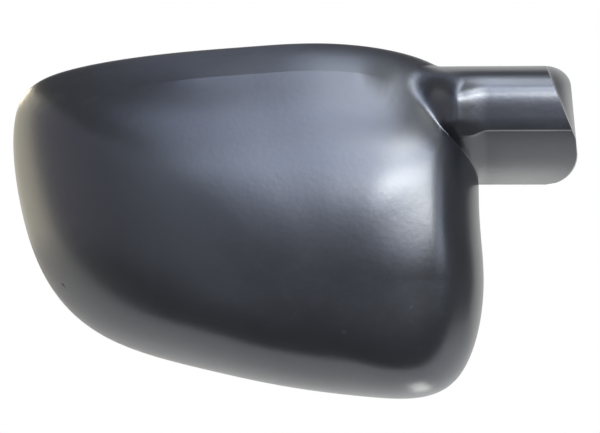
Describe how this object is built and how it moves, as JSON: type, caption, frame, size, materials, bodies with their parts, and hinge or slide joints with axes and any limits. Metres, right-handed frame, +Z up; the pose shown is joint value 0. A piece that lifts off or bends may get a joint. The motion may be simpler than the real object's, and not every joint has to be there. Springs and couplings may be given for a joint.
{
  "type": "door mirror cover",
  "caption": "Open-backed moulded cover for a car's door mirror: a domed body with a brow line and a short stepped arm, with bosses, ribs and snap hooks inside.",
  "frame": {"origin": "centre of the locating boss's mouth, inside the shell", "axes": "+Z up as fitted, -Y to the front of the car, +X along the arm towards the door"},
  "size_m": [0.2579, 0.046, 0.1615],
  "materials": {
    "cover": "satin dark grey moulded plastic, unpainted"
  },
  "bodies": {
    "root": {"mirror_cover": "cover"}
  },
  "joints": []
}
